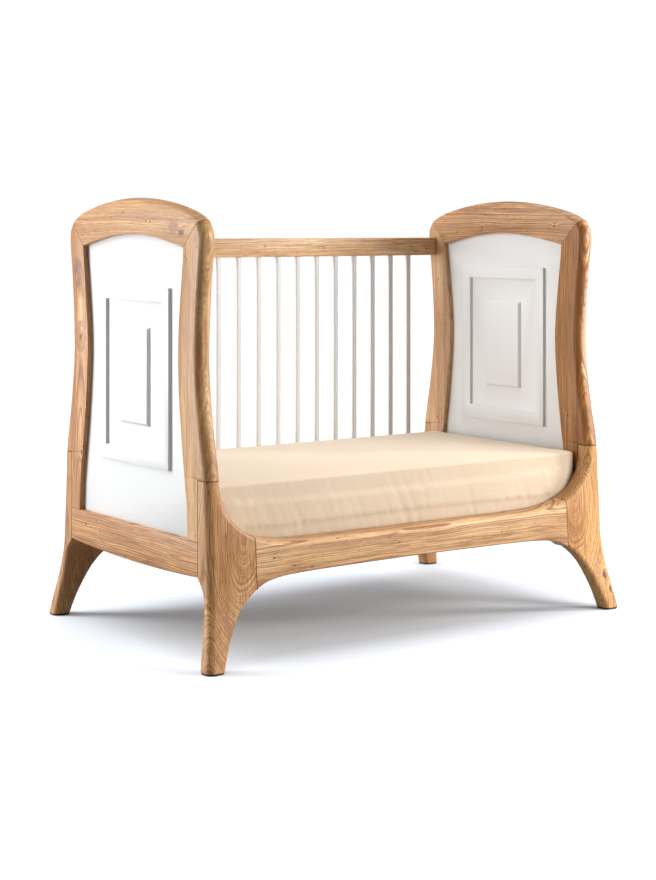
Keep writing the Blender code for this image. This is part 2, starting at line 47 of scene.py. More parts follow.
# ---------------------------------------------------------------- dimensions shared with the CAD model
GAP = 0.0003
FRAME_IN = 0.6550
FRAME_OUT = 0.7031
JOINT_Z = 0.4943
SEAM_Y = 0.3642
SEAM_X = 0.5570
NOSE_R = 0.0225
EDGE_R = 0.0010
POST_INNER = [(0.3303, 0.3110), (0.405, 0.3070), (0.4475, 0.3015), (0.490, 0.2945)]
POST_INNER_UP = [(0.5000, 0.2930), (0.530, 0.2882), (0.564, 0.2830), (0.610, 0.2765), (0.657, 0.2708),
                 (0.705, 0.2655), (0.752, 0.2618), (0.790, 0.2598), (0.825, 0.2592), (0.865, 0.2610),
                 (0.901, 0.2640), (0.945, 0.2690), (0.989, 0.2745), (1.030, 0.2798), (1.065, 0.2845),
                 (1.090, 0.2872)]
POST_OUTER_UP = [(JOINT_Z + GAP, 0.4095), (0.530, 0.4035), (0.564, 0.3965), (0.612, 0.3860), (0.660, 0.3775),
                 (0.708, 0.3700), (0.757, 0.3640), (0.795, 0.3615), (0.830, 0.3610), (0.872, 0.3622),
                 (0.912, 0.3645), (0.962, 0.3682), (1.018, 0.3735), (1.075, 0.3805), (1.125, 0.3860),
                 (1.157, 0.3830)]
MITRE_IN = (1.1080, 0.2885)
MITRE_OUT = (1.1830, 0.3655)
ARCH_IN = [(1.1140, 0.2600), (1.1195, 0.2300), (1.1275, 0.1850), (1.1345, 0.1400), (1.1395, 0.0900),
           (1.1425, 0.0450), (1.1435, 0.0)]
ARCH_OUT = [(1.1965, 0.3380), (1.2080, 0.3030), (1.2205, 0.2500), (1.2310, 0.1900), (1.2395, 0.1200),
            (1.2440, 0.0600), (1.2455, 0.0)]
END_RAIL_TOP = 0.3300
END_RAIL_BOTTOM = 0.2365
END_RAIL_BOW = 0.0105
PANEL_OUT = 0.6880
PANEL_IN = 0.6690
GROOVE_DEPTH = 0.0085
GROOVE_SLACK = 0.0010
GROOVE = (PANEL_IN - GROOVE_SLACK, PANEL_OUT + GROOVE_SLACK, GROOVE_DEPTH)
LEG_TOP = [(JOINT_Z - GAP, 0.6553), (0.4800, 0.6552), (0.4640, 0.6545), (0.4460, 0.6525), (0.4270, 0.6475),
           (0.4100, 0.6400), (0.3950, 0.6300), (0.3805, 0.6180), (0.3685, 0.6050), (0.3580, 0.5910),
           (0.3490, 0.5755)]
SEAM_LEVELS = [0.3405, 0.3000, 0.2700, 0.2360, 0.2325, 0.2290, 0.2250, 0.2175, 0.2100, 0.2040, 0.1980]
LEG_LOW = [(0.1900, 0.5670), (0.1800, 0.5795), (0.1700, 0.5905), (0.1560, 0.6030), (0.1400, 0.6150),
           (0.1200, 0.6275), (0.0950, 0.6410), (0.0650, 0.6550), (0.0330, 0.6675), (0.0058, 0.6765)]
LEG_OUT_X = [(0.0, 0.7330), (0.055, 0.7240), (0.11, 0.7150), (0.16, 0.7085), (0.20, 0.7050),
             (0.25, FRAME_OUT), (0.60, FRAME_OUT)]
LEG_BACK_Y = [(0.0, 0.4170), (0.055, 0.4100), (0.11, 0.4010), (0.16, 0.3945), (0.19, 0.3895), (0.21, 0.3830),
              (0.225, 0.3730), (0.236, SEAM_Y + GAP / 2), (0.60, SEAM_Y + GAP / 2)]
LEG_FRONT_Y = [(0.0, 0.4700), (0.044, 0.4610), (0.105, 0.4470), (0.16, 0.4350), (0.21, 0.4275),
               (0.27, 0.4240), (0.34, 0.4190), (0.40, 0.4150), (JOINT_Z + GAP, 0.4095)]
RAIL_TOP = [(SEAM_X, 0.3405), (0.530, 0.3310), (0.500, 0.3245), (0.460, 0.3190), (0.420, 0.3163),
            (0.360, 0.3150), (0.280, 0.3147), (0.140, 0.3145), (0.0, 0.3145)]
RAIL_LOW = [(SEAM_X, 0.1980), (0.535, 0.2105), (0.510, 0.2190), (0.468, 0.2258), (0.420, 0.2288),
            (0.360, 0.2305), (0.280, 0.2315), (0.140, 0.2328), (0.0, 0.2332)]
TOP_FALL = 0.0050
RAIL_TOP_R = 0.0100

# small easings of the visual model
OPENING_R = 0.0022
JOINT_EASE = 0.0011
MITRE_EASE = 0.0006
END_EASE = 0.0010
RAIL_END_EASE = 0.0014
SMOOTH_ANGLE = 32


# ---------------------------------------------------------------- curves and lofts
def spline(points, steps):
    """Catmull-Rom curve through points of any dimension, with steps pieces per span."""
    out = []
    n = len(points)
    for i in range(n - 1):
        p0, p1, p2, p3 = points[max(i - 1, 0)], points[i], points[i + 1], points[min(i + 2, n - 1)]
        for k in range(steps):
            t = k / steps
            row = []
            for a, b, c, d in zip(p0, p1, p2, p3):
                bend = (2 * a - 5 * b + 4 * c - d) + t * (3 * (b - c) + d - a)
                row.append(b + 0.5 * t * ((c - a) + t * bend))
            out.append(tuple(row))
    out.append(tuple(points[-1]))
    return out


def lookup(table, x):
    """Smooth lookup in a table of (x, value) in rising x."""
    if x <= table[0][0]:
        return table[0][1]
    for i in range(len(table) - 1):
        (x0, v0), (x1, v1) = table[i], table[i + 1]
        if x <= x1:
            span = x1 - x0
            before = table[max(i - 1, 0)]
            after = table[min(i + 2, len(table) - 1)]
            m0 = (v1 - before[1]) / (x1 - before[0])
            m1 = (after[1] - v0) / (after[0] - x0)
            if v1 == v0:
                m0 = m1 = 0.0
            t = (x - x0) / span
            a = (1 + 2 * t) * (1 - t) ** 2 * v0 + t * (1 - t) ** 2 * span * m0
            return a + t * t * (3 - 2 * t) * v1 + t * t * (t - 1) * span * m1
    return table[-1][1]


def unit(a, b):
    """Unit vector from a to b in the plane."""
    dx, dy = b[0] - a[0], b[1] - a[1]
    length = math.hypot(dx, dy)
    return (dx / length, dy / length)


def corner(radius, count, leaving):
    """Quarter round as (inward, across) steps; leaving turns it round, to run out of a side face."""
    points = []
    for k in range(count + 1):
        t = math.pi / 2 * k / count
        points.append((radius * (1 - math.cos(t)), radius * (1 - math.sin(t))))
    if leaving:
        points.reverse()
    return points


def section(a, na, b, nb, low, high, radii, counts, groove=None, inset=0.0):
    """Rounded section of a bar between side faces a and b and main faces low and high, as (u, v, w)."""
    a = (a[0] + na[0] * inset, a[1] + na[1] * inset)
    b = (b[0] + nb[0] * inset, b[1] + nb[1] * inset)
    low += inset
    high -= inset
    ring = []
    for inward, across in corner(radii[0], counts[0], True):
        ring.append((a[0] + na[0] * inward, a[1] + na[1] * inward, low + across))
    if groove:
        w0, w1, depth = groove
        ring.append((a[0], a[1], w0))
        ring.append((a[0] + na[0] * depth, a[1] + na[1] * depth, w0))
        ring.append((a[0] + na[0] * depth, a[1] + na[1] * depth, w1))
        ring.append((a[0], a[1], w1))
    for inward, across in corner(radii[1], counts[1], False):
        ring.append((a[0] + na[0] * inward, a[1] + na[1] * inward, high - across))
    for inward, across in corner(radii[2], counts[2], True):
        ring.append((b[0] + nb[0] * inward, b[1] + nb[1] * inward, high - across))
    for inward, across in corner(radii[3], counts[3], False):
        ring.append((b[0] + nb[0] * inward, b[1] + nb[1] * inward, low + across))
    return ring


def normals_of(chain, towards):
    """Unit normals of an open chain of points that point to the given side."""
    found = []
    for k in range(len(chain)):
        t = unit(chain[max(k - 1, 0)], chain[min(k + 1, len(chain) - 1)])
        n = (t[1], -t[0])
        if n[0] * towards[0] + n[1] * towards[1] < 0:
            n = (-n[0], -n[1])
        found.append(n)
    return found


def add_mesh(name, verts, faces):
    mesh = bpy.data.meshes.new(name)
    mesh.from_pydata(verts, [], faces)
    bm = bmesh.new()
    bm.from_mesh(mesh)
    bmesh.ops.recalc_face_normals(bm, faces=bm.faces)
    bm.to_mesh(mesh)
    bm.free()
    mesh.shade_smooth()
    mesh.set_sharp_from_angle(angle=math.radians(SMOOTH_ANGLE))
    obj = bpy.data.objects.new(name, mesh)
    scene.collection.objects.link(obj)
    return obj


def loft(name, rings):
    """Closed body through rings of equal length, with flat ends."""
    count = len(rings[0])
    verts = [p for ring in rings for p in ring]
    faces = []
    for r in range(len(rings) - 1):
        for i in range(count):
            j = (i + 1) % count
            faces.append((r * count + i, r * count + j, (r + 1) * count + j, (r + 1) * count + i))
    faces.append(tuple(range(count)))
    faces.append(tuple(range((len(rings) - 1) * count, len(rings) * count)))
    return add_mesh(name, verts, faces)


def use(obj, node, mat, body="frame"):
    """Let a piece stand for a CAD node."""
    obj.data.materials.clear()
    obj.data.materials.append(mat)
    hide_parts(node)
    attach(obj, body)


# ---------------------------------------------------------------- wooden pieces
def frame_section(a, b, na, nb, nose, side, inset=0.0):
    """Section of an end frame's member from its opening (a) to its outer edge (b), grooved for the panel."""
    radii = (OPENING_R, OPENING_R, nose, nose)
    ring = section(a, na, b, nb, FRAME_IN, FRAME_OUT, radii, (3, 3, 9, 9), GROOVE, inset)
    return [(side * w, y, z) for z, y, w in ring]


def make_post(name, side, front):
    """Post of an end frame: a narrow foot behind the leg, then the full width above the joint."""
    foot_y = SEAM_Y - GAP / 2
    foot_top = 0.4715
    foot = spline(POST_INNER, 3)
    stations = [((z, y), (min(z, foot_top), foot_y), EDGE_R, 0.0) for z, y in foot[:-1]]
    stations.append((foot[-1], (JOINT_Z + GAP, foot_y), EDGE_R, 0.0))
    inner, outer = POST_INNER_UP[0], POST_OUTER_UP[0]
    stations.append((inner, outer, NOSE_R, JOINT_EASE))
    stations.append(((inner[0] + 0.0008, inner[1]), (outer[0] + JOINT_EASE, outer[1] - 0.0002), NOSE_R, 0.0))
    pairs = [a + b for a, b in zip(POST_INNER_UP, POST_OUTER_UP)]
    for az, ay, bz, by in spline(pairs, 4)[1:]:
        stations.append(((az, ay), (bz, by), NOSE_R, 0.0))
    rings = []
    for a, b, nose, inset in stations:
        d = unit(a, b)
        if b[0] < 0.50:
            d = (0.0, 1.0)
        back = (-d[0], -d[1])
        ring = frame_section(a, b, d, back, nose, side, inset)
        if inset:
            plain = frame_section(a, b, d, back, nose, side)
            ring = [p if p[1] < SEAM_Y else r for r, p in zip(ring, plain)]
        rings.append(ring)
    rings += mitre_rings(side, -1)
    return loft(name, [[(x, front * y, z) for x, y, z in ring] for ring in rings])


def mitre_rings(side, way):
    """End of a post (way -1) or of an arch rail (way 1) at the mitre, finely eased."""
    d = unit(MITRE_IN, MITRE_OUT)
    n = (d[1], -d[0])
    rings = []
    for distance, inset in ((GAP / 2 + MITRE_EASE, 0.0), (GAP / 2, MITRE_EASE)):
        s = way * distance
        a = (MITRE_IN[0] + n[0] * s, MITRE_IN[1] + n[1] * s)
        b = (MITRE_OUT[0] + n[0] * s, MITRE_OUT[1] + n[1] * s)
        rings.append(frame_section(a, b, d, (-d[0], -d[1]), NOSE_R, side, inset))
    return rings


def make_arch(name, side):
    """Arched top rail of an end frame, mirrored about its middle."""
    ends = mitre_rings(side, 1)
    half = [ends[1], ends[0]]
    pairs = [MITRE_IN + MITRE_OUT] + [a + b for a, b in zip(ARCH_IN, ARCH_OUT)]
    mirrored = [(a, -b, c, -d) for a, b, c, d in reversed(pairs[:-1])]
    fine = spline(pairs + mirrored, 5)
    middle = len(fine) // 2
    for az, ay, bz, by in fine[1:middle + 1]:
        d = unit((az, ay), (bz, by))
        half.append(frame_section((az, ay), (bz, by), d, (-d[0], -d[1]), NOSE_R, side))
    rings = [[(x, -y, z) for x, y, z in ring] for ring in half]
    rings += [list(ring) for ring in reversed(half[:-1])]
    return loft(name, rings)


def make_end_rail(name, side):
    """Lower rail of an end frame, bowed underneath and grooved for the panel on top."""
    half = SEAM_Y - GAP / 2
    spans = 40
    rings = []
    places = [-half + 2 * half * k / spans for k in range(spans + 1)]
    places[1:1] = [-half + END_EASE]
    places[-1:-1] = [half - END_EASE]
    for k, y in enumerate(places):
        low = END_RAIL_BOTTOM - END_RAIL_BOW * (1 - (y / half) ** 2)
        inset = END_EASE if k in (0, len(places) - 1) else 0.0
        ring = section((END_RAIL_TOP, y), (-1.0, 0.0), (low, y), (1.0, 0.0), FRAME_IN + GAP, FRAME_OUT,
                       (0.002, OPENING_R, 0.006, 0.004), (3, 3, 4, 4), GROOVE, inset)
        rings.append([(side * w, v, u) for u, v, w in ring])
    return loft(name, rings)


def make_leg(name, side, front):
    """Leg with its curved bracket: from the post joint down the bracket, along the rail seam, to the foot."""
    top = [(x, z) for z, x in LEG_TOP]
    seam = [(SEAM_X + GAP / 2, z) for z in SEAM_LEVELS]
    low = [(x, z) for z, x in LEG_LOW]
    upper = spline(top + seam[:1], 4)
    lower = spline(seam[-1:] + low, 4)
    chain = upper[:-1] + seam + lower[1:]
    normals = normals_of(upper, (1.0, -0.3))[:-1]
    normals += [(0.0, -1.0)] + [(1.0, 0.0)] * (len(seam) - 2) + [(0.0, 1.0)]
    normals += normals_of(lower, (1.0, 0.3))[1:]
    normals[0] = (1.0, 0.0)
    normals[-1] = (1.0, 0.0)
    last = len(upper) - 1
    fall_span = 12
    counts = (3, 6, 10, 5)
    split = counts[0] + counts[1] + 2
    rings = []
    for k, (point, normal) in enumerate(zip(chain, normals)):
        z = point[1]
        outer = (lookup(LEG_OUT_X, z), z)
        drop = min(max((END_RAIL_BOTTOM - z) / 0.10, 0.0), 1.0)
        back_round = EDGE_R + 0.015 * min(drop * 2, 1.0)
        bracket_back = 0.002
        edge = RAIL_TOP_R + (NOSE_R - RAIL_TOP_R) * min(max((z - 0.36) / 0.125, 0.0), 1.0)
        if last < k < last + len(seam) - 1:
            edge = bracket_back = EDGE_R
        elif k >= last + len(seam) - 1:
            edge = 0.005 + 0.011 * drop
            bracket_back = 0.004 + 0.010 * drop
        radii = (bracket_back, edge, NOSE_R - 0.002 * drop, back_round)
        fall = 0.0
        if last - fall_span < k <= last:
            fall = TOP_FALL * (k - last + fall_span) / fall_span
        for inset, lift in (((JOINT_EASE, 0.0), (0.0, -JOINT_EASE)) if k == 0 else ((0.0, 0.0),)):
            flat = section(point, normal, outer, (-1.0, 0.0), -0.5, 0.5, radii, counts, None, inset)
            ring = []
            for i, (u, v, w) in enumerate(flat):
                y_back = lookup(LEG_BACK_Y, v)
                y_face = lookup(LEG_FRONT_Y, v)
                y = y_back + (w + 0.5) if w < 0 else y_face - (0.5 - w)
                if i < split:
                    v -= fall * (0.5 if w > 0 else -0.5)
                ring.append((side * u, front * y, v + lift))
            rings.append(ring)
    return loft(name, rings)


def make_long_rail(name, front):
    """Front or rear rail between the leg brackets."""
    end = SEAM_X - GAP / 2
    pairs = [(min(a[0], end), a[1], min(b[0], end), b[1]) for a, b in zip(RAIL_LOW, RAIL_TOP)]
    pairs = [(-a, b, -c, d) for a, b, c, d in pairs] + [row for row in reversed(pairs[:-1])]
    fine = spline(pairs, 5)
    low = [(r[0], r[1]) for r in fine]
    top = [(r[2], r[3]) for r in fine]
    low_n = normals_of(low, (0.0, 1.0))
    top_n = normals_of(top, (0.0, -1.0))
    top_n[0] = top_n[-1] = (0.0, -1.0)
    low_n[0] = low_n[-1] = (0.0, 1.0)
    rows = list(zip(low, low_n, top, top_n))
    rows.insert(1, rows[0])
    rows.insert(-1, rows[-1])
    radii = (0.004, 0.005, RAIL_TOP_R, 0.002)
    counts = (3, 4, 6, 3)
    split = counts[0] + counts[1] + 2
    rings = []
    for k, (a, na, b, nb) in enumerate(rows):
        inset = RAIL_END_EASE if k in (0, len(rows) - 1) else 0.0
        near = k in (1, len(rows) - 2)
        flat = section(a, na, b, nb, -0.5, 0.5, radii, counts, None, inset)
        ring = []
        for i, (u, v, w) in enumerate(flat):
            face = lookup(LEG_FRONT_Y, v)
            y = SEAM_Y + GAP / 2 + (w + 0.5) if w < 0 else face - (0.5 - w)
            if i >= split:
                v -= TOP_FALL * (0.5 if w > 0 else -0.5)
            if near:
                u -= math.copysign(0.0013, u)
            ring.append((u, front * y, v))
        rings.append(ring)
    return loft(name, rings)


def eased_copy(node, width, segments=2):
    """Copy of a CAD node with softly broken arrises."""
    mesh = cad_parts[node].data.copy()
    mesh.name = node + "_look"
    bm = bmesh.new()
    bm.from_mesh(mesh)
    bmesh.ops.remove_doubles(bm, verts=bm.verts, dist=0.00002)
    bmesh.ops.dissolve_limit(bm, angle_limit=math.radians(0.5), verts=bm.verts, edges=bm.edges)
    limit = math.radians(30)
    sharp = [e for e in bm.edges if len(e.link_faces) == 2 and e.calc_face_angle(0) > limit]
    bmesh.ops.bevel(bm, geom=sharp, offset=width, segments=segments, profile=0.5, affect="EDGES",
                    clamp_overlap=True)
    bm.to_mesh(mesh)
    bm.free()
    mesh.shade_smooth()
    mesh.set_sharp_from_angle(angle=math.radians(35))
    obj = bpy.data.objects.new(node + "_look", mesh)
    scene.collection.objects.link(obj)
    return obj


# ---------------------------------------------------------------- materials
class Nodes:
    """Small helper around one material's node tree."""

    def __init__(self, name):
        self.mat = bpy.data.materials.new(name)
        self.mat.use_nodes = True
        self.tree = self.mat.node_tree
        self.shader = self.tree.nodes["Principled BSDF"]

    def add(self, kind, **settings):
        node = self.tree.nodes.new(kind)
        for key, value in settings.items():
            setattr(node, key, value)
        return node

    def link(self, a, b):
        self.tree.links.new(a, b)

    def put(self, socket, value):
        """Link a socket or set a plain value."""
        if hasattr(value, "is_linked"):
            self.link(value, socket)
        else:
            socket.default_value = value

    def math(self, op, a, b=0.0):
        node = self.add("ShaderNodeMath", operation=op)
        self.put(node.inputs[0], a)
        self.put(node.inputs[1], b)
        return node.outputs[0]

    def vec(self, op, a, b=(0, 0, 0)):
        node = self.add("ShaderNodeVectorMath", operation=op)
        self.put(node.inputs[0], a)
        self.put(node.inputs[1], b)
        return node.outputs["Value"] if op in ("LENGTH", "DOT_PRODUCT") else node.outputs[0]

    def noise(self, vector, stretch, detail=2.0, rough=0.5):
        """Noise on a vector that is stretched first; stretch is cells per metre along each axis."""
        node = self.add("ShaderNodeTexNoise")
        self.link(self.vec("MULTIPLY", vector, stretch), node.inputs["Vector"])
        node.inputs["Scale"].default_value = 1.0
        node.inputs["Detail"].default_value = detail
        node.inputs["Roughness"].default_value = rough
        return node

    def range(self, value, a, b, c=0.0, d=1.0, smooth=False):
        node = self.add("ShaderNodeMapRange", interpolation_type="SMOOTHSTEP" if smooth else "LINEAR")
        self.link(value, node.inputs["Value"])
        for key, v in (("From Min", a), ("From Max", b), ("To Min", c), ("To Max", d)):
            node.inputs[key].default_value = v
        return node.outputs["Result"]

    def mix(self, factor, a, b):
        node = self.add("ShaderNodeMix", data_type="RGBA", clamp_factor=True)
        self.put(node.inputs[0], factor)
        self.put(node.inputs[6], a if hasattr(a, "is_linked") else (*a, 1.0))
        self.put(node.inputs[7], b if hasattr(b, "is_linked") else (*b, 1.0))
        return node.outputs[2]

    def bump(self, height, strength, distance):
        node = self.add("ShaderNodeBump")
        node.inputs["Strength"].default_value = strength
        node.inputs["Distance"].default_value = distance
        self.link(height, node.inputs["Height"])
        self.link(node.outputs["Normal"], self.shader.inputs["Normal"])

    def object_coords(self):
        return self.add("ShaderNodeTexCoord").outputs["Object"]


OAK_TONES = ((0.720, 0.440, 0.215), (0.520, 0.280, 0.118), (0.235, 0.098, 0.036))
PORE_BROWN = (0.110, 0.045, 0.018)
CHECK_BROWN = (0.075, 0.030, 0.013)
KNOT_BROWN = (0.070, 0.028, 0.012)
JOINT_BROWN = (0.075, 0.032, 0.014)
UPPER_BOARD = (0.440, 0.225, 0.100)
GLUE_LINE = 0.30


def oak(name, axis, seed, tint_and_shade=(1.0, 1.0, 1.0), pith=(0.06, 0.09), pitch=0.0032, lean=(0.0, 0.0), knots=(),
        stains=(), joints=(), boards=None, checks=None, figure=1.0):
    """Oiled oak, grain along axis.

    seed shifts the grain along the board. pith is where the middle of the tree lies across the board, in
    metres, pitch is the width of a ring and lean tilts the tree against the board. knots are (x, y, z,
    radius, depth axis). stains are (centre, reach, colour, strength). joints are planes (normal, distance,
    mask, strength) on mirrored coordinates that carry a dark joint line, with mask (axis, from, to). boards
    is a level where a second glued board starts. checks is a row of fine checks (level, reach, start, end).
    figure is how strongly the grain shows. The tint scales the oak tones of one board; the boards' tints were
    set to each board's brightness under this light, so they are partly wood colour and partly painted light
    and shade.
    """
    n = Nodes(name)
    coords = n.object_coords()
    split = n.add("ShaderNodeSeparateXYZ")
    n.link(coords, split.inputs[0])
    order = {"X": (0, 1, 2), "Y": (1, 2, 0), "Z": (2, 0, 1)}[axis]
    local = n.add("ShaderNodeCombineXYZ")
    for k, source in enumerate(order):
        n.link(split.outputs[source], local.inputs[k])
    p = n.vec("ADD", local.outputs[0], (seed * 1.37, 0.0, 0.0))
    upper = None
    if boards is not None:
        upper = n.math("GREATER_THAN", split.outputs[2], boards)
        shift = n.add("ShaderNodeCombineXYZ")
        n.link(n.math("MULTIPLY", upper, 3.31), shift.inputs[0])
        n.link(n.math("MULTIPLY", upper, 0.05), shift.inputs[1])
        p = n.vec("ADD", p, shift.outputs[0])
    # slow wander of the grain
    slow = n.noise(p, (1.8, 5.0, 5.0), 2.0, 0.5)
    wander = n.vec("MULTIPLY", n.vec("SUBTRACT", slow.outputs["Color"], (0.5, 0.5, 0.5)), (0.0, 0.042, 0.042))
    fine = n.noise(p, (9.0, 30.0, 30.0), 2.0, 0.5)
    ripple = n.vec("MULTIPLY", n.vec("SUBTRACT", fine.outputs["Color"], (0.5, 0.5, 0.5)), (0.0, 0.006, 0.006))
    q = n.vec("ADD", n.vec("ADD", p, wander), ripple)
    tilt = n.add("ShaderNodeCombineXYZ")
    n.link(n.math("MULTIPLY", split.outputs[order[0]], lean[0]), tilt.inputs[1])
    n.link(n.math("MULTIPLY", split.outputs[order[0]], lean[1]), tilt.inputs[2])
    centred = n.vec("SUBTRACT", n.vec("SUBTRACT", q, (0.0, pith[0], pith[1])), tilt.outputs[0])
    radius = n.vec("LENGTH", n.vec("MULTIPLY", centred, (0.0, 1.0, 1.0)))
    dark_spots = None
    for x, y, z, size, through in knots:
        flat = {"X": (0, 1, 1), "Y": (1, 0, 1), "Z": (1, 1, 0)}[through]
        squeeze = {"X": (0.62, 1, 1), "Y": (1, 0.62, 1), "Z": (1, 1, 0.62)}[axis]
        away = n.vec("SUBTRACT", coords, (x, y, z))
        away = n.vec("MULTIPLY", away, tuple(a * b for a, b in zip(flat, squeeze)))
        wobble = n.noise(coords, (110.0, 110.0, 110.0), 3.0)
        d = n.math("ADD", n.vec("LENGTH", away), n.math("MULTIPLY", wobble.outputs[0], size * 1.1))
        d = n.math("SUBTRACT", d, size * 0.55)
        push = n.range(d, 0.0, size * 4.5, size * 2.2, 0.0, True)
        radius = n.math("ADD", radius, push)
        spot = n.range(d, size * 0.35, size * 1.2, 1.0, 0.0, True)
        dark_spots = spot if dark_spots is None else n.math("MAXIMUM", dark_spots, spot)
    rings = n.add("ShaderNodeTexNoise", noise_dimensions="1D")
    n.link(n.math("DIVIDE", radius, pitch), rings.inputs["W"])
    rings.inputs["Scale"].default_value = 1.0
    rings.inputs["Detail"].default_value = 3.0
    rings.inputs["Roughness"].default_value = 0.62
    ring = n.range(rings.outputs[0], 0.43, 0.66, 0.0, 1.0)
    bands = n.add("ShaderNodeTexNoise", noise_dimensions="1D")
    n.link(n.math("DIVIDE", radius, pitch * 7.0), bands.inputs["W"])
    bands.inputs["Detail"].default_value = 1.0
    bands.inputs["Scale"].default_value = 1.0
    # fibres, pores and slow changes of tone
    fibre = n.noise(p, (12.0, 560.0, 560.0), 3.0, 0.6)
    streak = n.noise(q, (4.0, 260.0, 260.0), 2.0, 0.6)
    pores = n.noise(p, (60.0, 520.0, 520.0), 1.0, 0.5)
    pore = n.range(pores.outputs[0], 0.60, 0.68, 0.0, 1.0)
    pore = n.math("MULTIPLY", pore, n.range(ring, 0.2, 0.8, 0.30, 1.0))
    cloud = n.noise(p, (2.4, 15.0, 15.0), 3.0, 0.6)
    light, middle, deep = (tuple(c * t for c, t in zip(tone, tint_and_shade)) for tone in OAK_TONES)
    base = n.mix(n.range(cloud.outputs[0], 0.36, 0.62, 0.0, 1.0), middle, light)
    base = n.mix(n.range(bands.outputs[0], 0.50, 0.72, 0.0, 0.40 * figure), base, deep)
    base = n.mix(n.math("MULTIPLY", ring, 0.60 * figure), base, deep)
    base = n.mix(n.range(streak.outputs[0], 0.48, 0.66, 0.0, 0.55 * figure), base, deep)
    base = n.mix(n.range(fibre.outputs[0], 0.42, 0.75, 0.0, 0.45), base, deep)
    base = n.mix(n.math("MULTIPLY", pore, 0.62), base, PORE_BROWN)
    for centre, reach, colour, strength in stains:
        away = n.vec("LENGTH", n.vec("DIVIDE", n.vec("SUBTRACT", coords, centre), reach))
        uneven = n.noise(coords, (60.0, 60.0, 60.0), 3.0)
        away = n.math("ADD", away, n.range(uneven.outputs[0], 0.3, 0.7, -0.28, 0.28))
        base = n.mix(n.range(away, 0.55, 1.05, strength, 0.0, True), base, n.mix(ring, colour, deep))
    # short checks and pin knots in rows along the grain
    cells = n.add("ShaderNodeTexVoronoi", feature="F1")
    n.link(n.vec("MULTIPLY", q, (34.0, 95.0, 95.0)), cells.inputs["Vector"])
    cells.inputs["Scale"].default_value = 1.0
    chance = n.add("ShaderNodeSeparateColor")
    n.link(cells.outputs["Color"], chance.inputs[0])
    rows = n.noise(q, (4.0, 26.0, 26.0), 1.0)
    where = n.range(rows.outputs[0], 0.57, 0.62, 0.0, 1.0)
    if checks is not None:
        level, reach, start, end = checks
        near = n.math("ABSOLUTE", n.math("SUBTRACT", split.outputs[2], level))
        band = n.math("LESS_THAN", near, reach)
        band = n.math("MULTIPLY", band, n.math("GREATER_THAN", split.outputs[order[0]], start))
        band = n.math("MULTIPLY", band, n.math("LESS_THAN", split.outputs[order[0]], end))
        where = n.math("MAXIMUM", where, band)
    pick = n.math("MULTIPLY", n.math("GREATER_THAN", chance.outputs[0], 0.62), where)
    dash = n.math("MULTIPLY", n.range(cells.outputs["Distance"], 0.10, 0.26, 1.0, 0.0), pick)
    base = n.mix(n.math("MULTIPLY", dash, 0.90), base, CHECK_BROWN)
    if upper is not None:
        base = n.mix(n.math("MULTIPLY", upper, 0.20), base, UPPER_BOARD)
    if dark_spots is not None:
        base = n.mix(n.math("MULTIPLY", dark_spots, 0.88), base, KNOT_BROWN)
    # dark lines where pieces meet
    mirrored = n.vec("ABSOLUTE", coords)
    parts = n.add("ShaderNodeSeparateXYZ")
    n.link(mirrored, parts.inputs[0])
    if boards is not None:
        joints = list(joints) + [((0.0, 0.0, 1.0), boards, None, GLUE_LINE)]
    for normal, distance, mask, strength in joints:
        off = n.math("ABSOLUTE", n.math("SUBTRACT", n.vec("DOT_PRODUCT", mirrored, normal), distance))
        line = n.range(off, 0.0006, 0.0019, strength, 0.0)
        if mask is not None:
            k, low, high = mask
            line = n.math("MULTIPLY", line, n.math("GREATER_THAN", parts.outputs[k], low))
            line = n.math("MULTIPLY", line, n.math("LESS_THAN", parts.outputs[k], high))
        base = n.mix(line, base, JOINT_BROWN)
    n.link(base, n.shader.inputs["Base Color"])
    n.link(n.range(fibre.outputs[0], 0.3, 0.8, 0.33, 0.50), n.shader.inputs["Roughness"])
    n.shader.inputs["Specular IOR Level"].default_value = 0.28
    n.shader.inputs["Coat Weight"].default_value = 0.02
    n.shader.inputs["Coat Roughness"].default_value = 0.20
    height = n.math("SUBTRACT", n.math("MULTIPLY", fibre.outputs[0], 0.35), n.math("MULTIPLY", pore, 0.9))
    height = n.math("SUBTRACT", height, n.math("MULTIPLY", dash, 1.2))
    n.bump(height, 0.35, 0.0006)
    return n.mat


def paint(name, colour):
    """White satin lacquer with a faint orange peel."""
    n = Nodes(name)
    coords = n.object_coords()
    cloud = n.noise(coords, (5.0, 5.0, 5.0), 3.0)
    warm = tuple(c * k for c, k in zip(colour, (0.985, 0.978, 0.965)))
    n.link(n.mix(cloud.outputs[0], colour, warm), n.shader.inputs["Base Color"])
    peel = n.noise(coords, (260.0, 260.0, 260.0), 2.0)
    n.link(n.range(peel.outputs[0], 0.3, 0.7, 0.36, 0.46), n.shader.inputs["Roughness"])
    n.shader.inputs["Specular IOR Level"].default_value = 0.4
    n.bump(peel.outputs[0], 0.07, 0.0004)
    return n.mat


